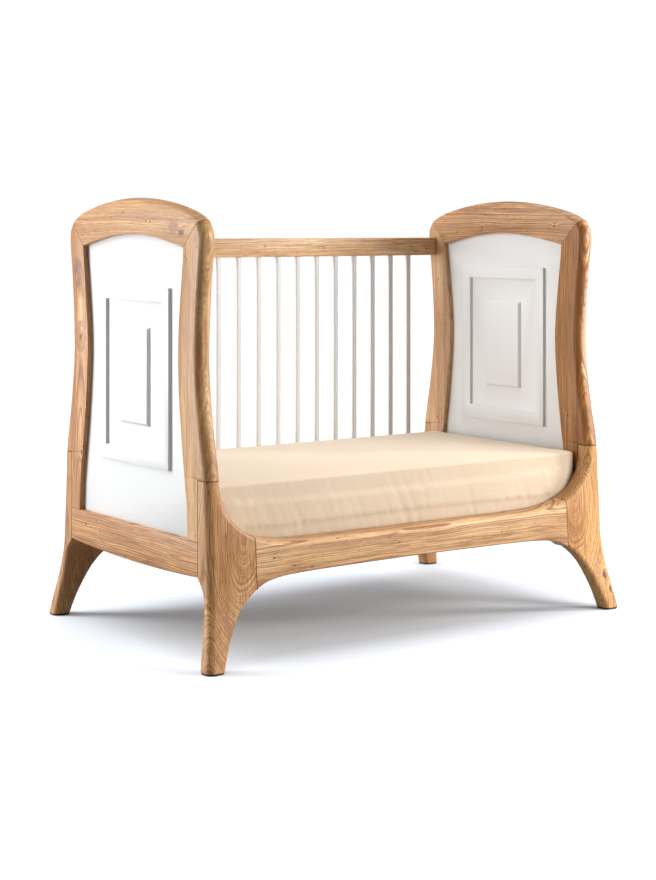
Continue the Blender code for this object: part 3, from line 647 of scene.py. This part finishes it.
def cotton(name):
    """Plain woven cream cotton."""
    n = Nodes(name)
    coords = n.object_coords()
    cloud = n.noise(coords, (4.0, 4.0, 9.0), 4.0, 0.55)
    slub_x = n.noise(coords, (9.0, 700.0, 700.0), 2.0)
    slub_z = n.noise(coords, (700.0, 700.0, 9.0), 2.0)
    threads = n.math("ADD", slub_x.outputs[0], slub_z.outputs[0])
    weave = None
    for direction in ("X", "Y", "Z"):
        wave = n.add("ShaderNodeTexWave", wave_type="BANDS", bands_direction=direction)
        n.link(coords, wave.inputs["Vector"])
        wave.inputs["Scale"].default_value = 190.0
        wave.inputs["Distortion"].default_value = 0.6
        wave.inputs["Detail"].default_value = 1.0
        weave = wave.outputs[1] if weave is None else n.math("ADD", weave, wave.outputs[1])
    colour = n.mix(n.range(cloud.outputs[0], 0.3, 0.7), (0.684, 0.562, 0.424), (0.646, 0.519, 0.381))
    colour = n.mix(n.range(threads, 0.75, 1.3, 0.0, 0.35), colour, (0.570, 0.452, 0.315))
    n.link(colour, n.shader.inputs["Base Color"])
    n.shader.inputs["Roughness"].default_value = 0.88
    n.shader.inputs["Specular IOR Level"].default_value = 0.2
    n.shader.inputs["Sheen Weight"].default_value = 0.15
    n.shader.inputs["Sheen Roughness"].default_value = 0.5
    n.bump(n.math("ADD", weave, n.math("MULTIPLY", threads, 1.5)), 0.25, 0.0003)
    return n.mat


def black_plastic(name):
    """Matt black plastic with a fine moulded grain."""
    n = Nodes(name)
    grain = n.noise(n.object_coords(), (900.0, 900.0, 900.0), 2.0)
    tone = n.mix(grain.outputs[0], (0.010, 0.010, 0.010), (0.022, 0.021, 0.020))
    n.link(tone, n.shader.inputs["Base Color"])
    n.link(n.range(grain.outputs[0], 0.3, 0.7, 0.45, 0.62), n.shader.inputs["Roughness"])
    n.bump(grain.outputs[0], 0.2, 0.0002)
    return n.mat


white = paint("white_satin_paint", (0.79, 0.79, 0.785))
# darker copy of the white paint for the left panel: painted shade, as both panels are the same white
shaded_panel_white = paint("white_panel_paint_shaded", (0.710, 0.710, 0.705))
# darker white for the slats: partly their own colour, partly painted shade
shaded_slat_white = paint("white_slat_paint_shaded", (0.720, 0.725, 0.730))
glide_black = black_plastic("glide_plastic")
sheet_cotton = cotton("cotton_sheet")
hidden_oak = oak("oak_base", "Y", 5.3, (0.96, 0.96, 0.96), (0.05, 0.02))
cleat_oak = oak("oak_cleat", "X", 7.9, (0.94, 0.94, 0.94), (0.03, 0.05))

# ---------------------------------------------------------------- wooden frame
MITRE_DIR = unit(MITRE_IN, MITRE_OUT)
MITRE_OFFSET = MITRE_IN[0] * MITRE_DIR[1] - MITRE_IN[1] * MITRE_DIR[0]
MITRE_LINE = ((0.0, -MITRE_DIR[0], MITRE_DIR[1]), MITRE_OFFSET, None, 0.12)
SEAM_LINE = ((0.0, 1.0, 0.0), SEAM_Y, None, 0.8)
LEG_LINES = [((0.0, 0.0, 1.0), JOINT_Z, None, 0.8), SEAM_LINE, ((1.0, 0.0, 0.0), SEAM_X, None, 0.85)]
POST_LINES = [((0.0, 0.0, 1.0), JOINT_Z, (1, SEAM_Y, 1.0), 0.85),
              ((0.0, 1.0, 0.0), SEAM_Y, (2, 0.0, JOINT_Z), 0.8),
              ((0.0, 0.0, 1.0), END_RAIL_TOP, None, 0.8), MITRE_LINE]
HEARTWOOD = (0.200, 0.095, 0.068)
# light sapwood colour; on the nose of the right front post it is partly a painted highlight
SAPWOOD_AND_HIGHLIGHT = (0.740, 0.500, 0.270)
# darker colour for the nose of the left front post: partly heartwood, partly painted shade on the curved edge
NOSE_HEARTWOOD_AND_SHADE = (0.270, 0.120, 0.046)
KNOT_SHADE = (0.30, 0.150, 0.075)
# the board tints below are partly wood colour and partly painted light and shade: they set each board's
# brightness, such as the dark inner face of the right front post
POSTS = {
    "left_front": {
        "tint_and_shade": (1.07, 1.07, 1.00), "pith": (-0.670, -0.560), "figure": 1.0,
        "knots": [(-0.70, -0.306, 1.078, 0.0035, "X"), (-0.70, -0.300, 1.086, 0.0025, "X")],
        # darker band along the nose of the left front post: partly heartwood, partly painted shade
        "stains": [((-0.700, -0.363, 1.060), (0.030, 0.015, 0.150), NOSE_HEARTWOOD_AND_SHADE, 0.50),
                   ((-0.700, -0.349, 0.840), (0.030, 0.015, 0.200), NOSE_HEARTWOOD_AND_SHADE, 0.50),
                   ((-0.700, -0.383, 0.600), (0.030, 0.017, 0.130), NOSE_HEARTWOOD_AND_SHADE, 0.40)]},
    "left_rear": {
        "tint_and_shade": (0.95, 0.82, 0.60), "pith": (-0.765, 0.300), "figure": 1.3,
        "knots": [(-0.70, 0.305, 0.840, 0.0085, "X"), (-0.70, 0.302, 0.500, 0.004, "X")],
        "stains": [((-0.70, 0.325, 1.045), (0.06, 0.030, 0.028), HEARTWOOD, 0.85),
                   ((-0.70, 0.315, 1.000), (0.06, 0.018, 0.020), HEARTWOOD, 0.70),
                   ((-0.70, 0.298, 0.915), (0.06, 0.022, 0.070), SAPWOOD_AND_HIGHLIGHT, 0.65)]},
    "right_front": {
        "tint_and_shade": (0.79, 0.63, 0.39), "pith": (0.600, -0.520), "figure": 1.35,
        "knots": [(0.66, -0.3165, 0.579, 0.0035, "X")],
        # lighter band along the nose of the right front post: partly sapwood, partly painted highlight
        "stains": [((0.690, -0.385, 1.100), (0.024, 0.030, 0.140), SAPWOOD_AND_HIGHLIGHT, 0.60),
                   ((0.690, -0.368, 0.840), (0.024, 0.030, 0.200), SAPWOOD_AND_HIGHLIGHT, 0.60)]},
    "right_rear": {"tint_and_shade": (1.04, 1.08, 1.18), "pith": (0.640, 0.620), "figure": 0.7},
}
LEGS = {
    "left_front": {"tint_and_shade": (0.98, 0.90, 0.77)},
    "left_rear": {"tint_and_shade": (0.98, 0.90, 0.78)},
    "right_front": {"tint_and_shade": (1.13, 1.06, 0.86),
                    "knots": [(0.688, -0.45, 0.105, 0.0090, "Y"), (0.704, -0.46, 0.062, 0.0075, "Y")]},
    "right_rear": {"tint_and_shade": (1.05, 1.00, 0.92)},
}
ARCHES = {
    "left": {
        "tint_and_shade": (1.07, 1.02, 0.89), "figure": 1.0, "boards": MITRE_OUT[0],
        "knots": [(-0.70, -0.277, 1.149, 0.0105, "X"), (-0.70, -0.085, 1.180, 0.0035, "X"),
                  (-0.70, -0.110, 1.178, 0.0035, "X"), (-0.70, 0.046, 1.205, 0.0035, "X"),
                  (-0.70, 0.118, 1.192, 0.003, "X")],
        "stains": [((-0.70, -0.235, 1.163), (0.06, 0.030, 0.025), KNOT_SHADE, 0.65)]},
    "right": {
        "tint_and_shade": (1.08, 1.07, 1.12), "figure": 1.3,
        "knots": [(0.66, 0.093, 1.162, 0.0040, "X"), (0.66, -0.258, 1.166, 0.0035, "X"),
                  (0.66, -0.235, 1.160, 0.0025, "X")]},
}
for end, side, end_white in (("left", -1, shaded_panel_white), ("right", 1, white)):
    for place, front in (("front", -1), ("rear", 1)):
        tag = "%s_%s" % (end, place)
        seed = side * 1.7 + front * 0.9
        mat = oak("oak_post_" + tag, "Z", seed, lean=(0.03 * side, 0.02 * front), joints=POST_LINES,
                  **POSTS[tag])
        use(make_post(tag + "_post_look", side, front), tag + "_post", mat)
        mat = oak("oak_leg_" + tag, "Z", seed + 4.1, pith=(side * 0.588, front * 0.322), pitch=0.0036,
                  lean=(0.02 * side, 0.28 * front), joints=LEG_LINES, figure=1.15, **LEGS[tag])
        use(make_leg(tag + "_leg_look", side, front), tag + "_leg", mat)
        use(eased_copy(tag + "_glide", 0.0006), tag + "_glide", glide_black)
    mat = oak("oak_arch_" + end, "Y", side * 2.3, pith=(1.05, side * 0.66), pitch=0.0036, joints=[MITRE_LINE],
              **ARCHES[end])
    use(make_arch(end + "_arch_look", side), end + "_arch_rail", mat)
    # the end rail's tint is partly wood colour and partly painted light and shade
    mat = oak("oak_end_rail_" + end, "Y", side * 3.7, (0.98, 0.87, 0.71), (0.20, side * 0.70), 0.0036,
              joints=[SEAM_LINE], figure=1.4)
    use(make_end_rail(end + "_end_rail_look", side), end + "_end_rail", mat)
    use(eased_copy(end + "_panel", 0.0006), end + "_panel", end_white)

RAIL_LINES = [((1.0, 0.0, 0.0), SEAM_X, None, 0.85)]
RAIL_CHECKS = (0.293, 0.010, -0.46, -0.02)
for name, front, seed in (("front_rail", -1, 0.4), ("rear_rail", 1, 2.9)):
    # the long rails' tint is partly wood colour and partly painted light and shade
    mat = oak("oak_" + name, "X", seed, (1.16, 1.22, 1.30), (front * 0.30, 0.10), 0.0034, joints=RAIL_LINES,
              checks=RAIL_CHECKS, figure=1.35)
    use(make_long_rail(name + "_look", front), name, mat)
for name, seed in (("gate_top_rail", 6.1), ("gate_bottom_rail", 8.8)):
    # the gate rails' tint is partly wood colour and partly painted light and shade
    mat = oak("oak_" + name, "X", seed, (1.40, 1.60, 1.92), (0.30, 1.02), 0.0030, figure=1.15)
    use(eased_copy(name, 0.0008), name, mat)
for k in range(1, 17):
    node = "gate_slat_%02d" % k
    use(eased_copy(node, 0.0005, 1), node, shaded_slat_white)
for k in range(1, 9):
    node = "base_slat_%d" % k
    use(eased_copy(node, 0.0005, 1), node, hidden_oak)
for node in ("front_cleat", "rear_cleat"):
    use(eased_copy(node, 0.0005, 1), node, cleat_oak)
birch = oak("birch_dowel", "X", 3.3, (1.08, 1.08, 1.08), (0.3, 0.3))
for node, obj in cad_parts.items():
    if node.endswith("_dowel"):
        obj.data.materials.clear()
        obj.data.materials.append(birch)


# ---------------------------------------------------------------- mattress in its fitted sheet
SWELL = 0.0018
MOVE_CAP = 0.0028
VOXEL = 0.007
CLOTH_FRAMES = 20
RIM = 0.016
CREASE = 0.0018


def make_mattress():
    """The mattress, blown up tight in its sheet by a short cloth simulation, then shaped."""
    low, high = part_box("mattress")
    size = high - low
    centre = (low + high) / 2
    bm = bmesh.new()
    bm.from_mesh(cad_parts["mattress"].data)
    bmesh.ops.remove_doubles(bm, verts=bm.verts, dist=0.00005)
    for v in bm.verts:
        for k in range(3):
            v.co[k] = centre[k] + (v.co[k] - centre[k]) * (1 - 2 * SWELL / size[k])
    mesh = bpy.data.meshes.new("mattress_look")
    bm.to_mesh(mesh)
    bm.free()
    obj = bpy.data.objects.new("mattress_look", mesh)
    scene.collection.objects.link(obj)
    mod = obj.modifiers.new("remesh", "REMESH")
    mod.mode = "VOXEL"
    mod.voxel_size = VOXEL
    mod.use_smooth_shade = True
    apply_all(obj)
    before = [v.co.copy() for v in obj.data.vertices]
    cloth = obj.modifiers.new("cloth", "CLOTH")
    cloth.settings.use_pressure = True
    cloth.settings.uniform_pressure_force = 4.0
    cloth.settings.effector_weights.gravity = 0.0
    cloth.settings.quality = 4
    cloth.settings.tension_stiffness = 25.0
    cloth.settings.compression_stiffness = 25.0
    cloth.settings.bending_stiffness = 0.6
    cloth.point_cache.frame_start = 1
    cloth.point_cache.frame_end = CLOTH_FRAMES
    for f in range(1, CLOTH_FRAMES + 1):
        scene.frame_set(f)
    apply_all(obj)
    scene.frame_set(1)
    for v, old in zip(obj.data.vertices, before):
        move = v.co - old
        if move.length > MOVE_CAP:
            v.co = old + move * (MOVE_CAP / move.length)
    sub = obj.modifiers.new("smooth", "SUBSURF")
    sub.levels = sub.render_levels = 1
    apply_all(obj)
    shape_sheet(obj, low, high)
    return obj


def apply_all(obj):
    """Keep what the modifiers made and remove them."""
    dg = bpy.context.evaluated_depsgraph_get()
    made = bpy.data.meshes.new_from_object(obj.evaluated_get(dg))
    old = obj.data
    obj.modifiers.clear()
    obj.data = made
    bpy.data.meshes.remove(old)


def shape_sheet(obj, low, high):
    """Crisp upper edge, soft crown, a hem with puckers low on the sides and fine pull creases."""
    for v in obj.data.vertices:
        x, y, z = v.co
        up = (z - low.z) / (high.z - low.z)
        ex = min(x - low.x, high.x - x)
        ey = min(y - low.y, high.y - y)
        on_front = max(0.0, 1 - max(ey - 0.004, 0.0) / 0.010)
        on_end = max(0.0, 1 - max(ex - 0.004, 0.0) / 0.010)
        along = x if on_front > on_end else y
        # pull the rounded upper edge out towards a crisp one
        rim = max(0.0, 1 - (high.z - z) / RIM)
        v.co.y += on_front * rim * 0.0022 * (-1 if y < 0 else 1)
        v.co.x += on_end * rim * 0.0022 * (-1 if x < 0 else 1)
        if max(on_front, on_end) > 0.0 and rim > 0.0:
            v.co.z += 0.0012 * rim * max(on_front, on_end)
        # creases: wide ones over the whole side, short puckers above the hem
        hem = max(0.0, 1 - up / 0.32)
        wide = noise.noise(Vector((along * 9.0, y * 3.0, z * 2.2 + 2.0)))
        pull = noise.noise(Vector((along * 30.0 + z * 14.0, 3.0, z * 4.0)))
        pull = max(0.0, abs(pull) - 0.22)
        pleat = noise.noise(Vector((along * 42.0, 7.0, z * 5.0)))
        fine = noise.noise(Vector((along * 95.0, 1.0, z * 16.0)))
        depth = 0.0008 * wide - CREASE * pull * (1 - rim) + CREASE * hem * pleat + 0.0008 * hem * fine
        tuck = 0.0042 * min(max(0.0, 1 - (up - 0.02) / 0.11), 1.0)
        v.co.y += on_front * (depth - 0.0010 - tuck) * (-1 if y < 0 else 1)
        v.co.x += on_end * (depth - 0.0010 - tuck) * (-1 if x < 0 else 1)
        if up > 0.8:
            crown = min(ex / 0.16, 1.0) * min(ey / 0.16, 1.0)
            ripple = noise.noise(Vector((x * 7, y * 7, 1.0)))
            drag = noise.noise(Vector((x * 5.0 + y * 9.0, y * 26.0 - x * 4.0, 5.0)))
            lift = 0.0026 * math.sin(crown * math.pi / 2) + 0.0008 * ripple + 0.0007 * drag * (1 - rim)
            v.co.z += lift
        v.co.x = min(max(v.co.x, low.x - 0.0006), high.x + 0.0006)
        v.co.y = min(max(v.co.y, low.y - 0.0012), high.y + 0.0008)
        v.co.z = max(v.co.z, low.z + 0.0002)
    obj.data.shade_smooth()


mattress = make_mattress()
use(mattress, "mattress", sheet_cotton, "mattress")

# ---------------------------------------------------------------- camera
cam_data = bpy.data.cameras.new("camera")
camera = bpy.data.objects.new("camera", cam_data)
scene.collection.objects.link(camera)
scene.camera = camera
camera.location = (-3.1289, -4.4245, 1.1667)
camera.rotation_euler = (math.radians(90.0), 0.0, math.radians(-35.0286))
cam_data.sensor_fit = "VERTICAL"
cam_data.sensor_height = 36.0
cam_data.sensor_width = 36.0
cam_data.lens = 73.15
cam_data.shift_y = -0.24353
cam_data.clip_end = 200.0

# ---------------------------------------------------------------- studio
floor_mesh = bpy.data.meshes.new("floor")
FLOOR_REACH = 60.0
corners = [(FLOOR_REACH * x, FLOOR_REACH * y, 0) for x, y in ((-1, -1), (1, -1), (1, 1), (-1, 1))]
floor_mesh.from_pydata(corners, [], [(0, 1, 2, 3)])
floor = bpy.data.objects.new("floor", floor_mesh)
scene.collection.objects.link(floor)
n = Nodes("studio_floor")
seen = n.add("ShaderNodeLightPath")
bounce_grey, seen_grey = (0.35, 0.365, 0.38), (0.755, 0.790, 0.835)
n.link(n.mix(seen.outputs["Is Camera Ray"], bounce_grey, seen_grey), n.shader.inputs["Base Color"])
away = n.range(n.vec("LENGTH", n.object_coords()), 1.3, 4.5, 0.0, 1.0, True)
n.link(n.math("MULTIPLY", away, seen.outputs["Is Camera Ray"]), n.shader.inputs["Emission Strength"])
n.shader.inputs["Emission Color"].default_value = (0.35, 0.32, 0.30, 1.0)
n.shader.inputs["Roughness"].default_value = 0.9
n.shader.inputs["Specular IOR Level"].default_value = 0.1
floor_mesh.materials.append(n.mat)

world = bpy.data.worlds.new("studio")
scene.world = world
world.use_nodes = True
tree = world.node_tree
tree.nodes.clear()
out = tree.nodes.new("ShaderNodeOutputWorld")
room = tree.nodes.new("ShaderNodeBackground")
room.inputs["Color"].default_value = (0.89, 0.95, 1.09, 1.0)
heading = tree.nodes.new("ShaderNodeTexCoord")
facing = tree.nodes.new("ShaderNodeVectorMath")
facing.operation = "DOT_PRODUCT"
facing.inputs[1].default_value = (-0.66, -0.75, 0.0)
tree.links.new(heading.outputs["Generated"], facing.inputs[0])
dim = tree.nodes.new("ShaderNodeMapRange")
dim.interpolation_type = "SMOOTHSTEP"
for key, value in (("From Min", -0.2), ("From Max", 0.48), ("To Min", 0.54), ("To Max", 0.0)):
    dim.inputs[key].default_value = value
tree.links.new(facing.outputs["Value"], dim.inputs["Value"])
tree.links.new(dim.outputs["Result"], room.inputs["Strength"])
backdrop = tree.nodes.new("ShaderNodeBackground")
backdrop.inputs["Color"].default_value = (1.0, 1.0, 1.0, 1.0)
backdrop.inputs["Strength"].default_value = 1.05
path = tree.nodes.new("ShaderNodeLightPath")
blend = tree.nodes.new("ShaderNodeMixShader")
tree.links.new(path.outputs["Is Camera Ray"], blend.inputs[0])
tree.links.new(room.outputs[0], blend.inputs[1])
tree.links.new(backdrop.outputs[0], blend.inputs[2])
tree.links.new(blend.outputs[0], out.inputs[0])


def sun(name, direction, strength, angle, colour):
    """Broad light that comes from a direction; angle is its width in degrees."""
    data = bpy.data.lights.new(name, "SUN")
    data.color = colour
    data.energy = strength
    data.angle = math.radians(angle)
    obj = bpy.data.objects.new(name, data)
    obj.rotation_euler = Vector(direction).to_track_quat("Z", "Y").to_euler()
    scene.collection.objects.link(obj)


def softbox(name, location, target, width, height, power, colour):
    """Square-cornered area light turned to a target, in metres and watts."""
    data = bpy.data.lights.new(name, "AREA")
    data.color = colour
    data.shape = "RECTANGLE"
    data.size = width
    data.size_y = height
    data.energy = power
    obj = bpy.data.objects.new(name, data)
    obj.location = location
    aim = Vector(location) - Vector(target)
    obj.rotation_euler = aim.to_track_quat("Z", "Y").to_euler()
    scene.collection.objects.link(obj)


NEUTRAL = (1.0, 1.0, 1.0)
sun("top", (-0.05, 0.10, 1.0), 2.10, 58, NEUTRAL)
softbox("high_left", (-3.0, 2.2, 2.9), (0.0, 0.0, 0.8), 2.0, 2.0, 92, NEUTRAL)
softbox("low_left", (-3.2, 2.3, 0.8), (-0.7, 0.0, 0.6), 1.5, 1.5, 98, NEUTRAL)
softbox("right", (2.4, -3.6, 1.7), (0.1, 0.0, 0.6), 1.6, 1.6, 160, (1.0, 0.97, 0.93))
softbox("edge", (3.2, -1.8, 1.5), (0.0, -0.4, 0.8), 0.5, 1.9, 85, (1.0, 0.97, 0.94))
scene.view_settings.view_transform = "Standard"
scene.view_settings.look = "None"
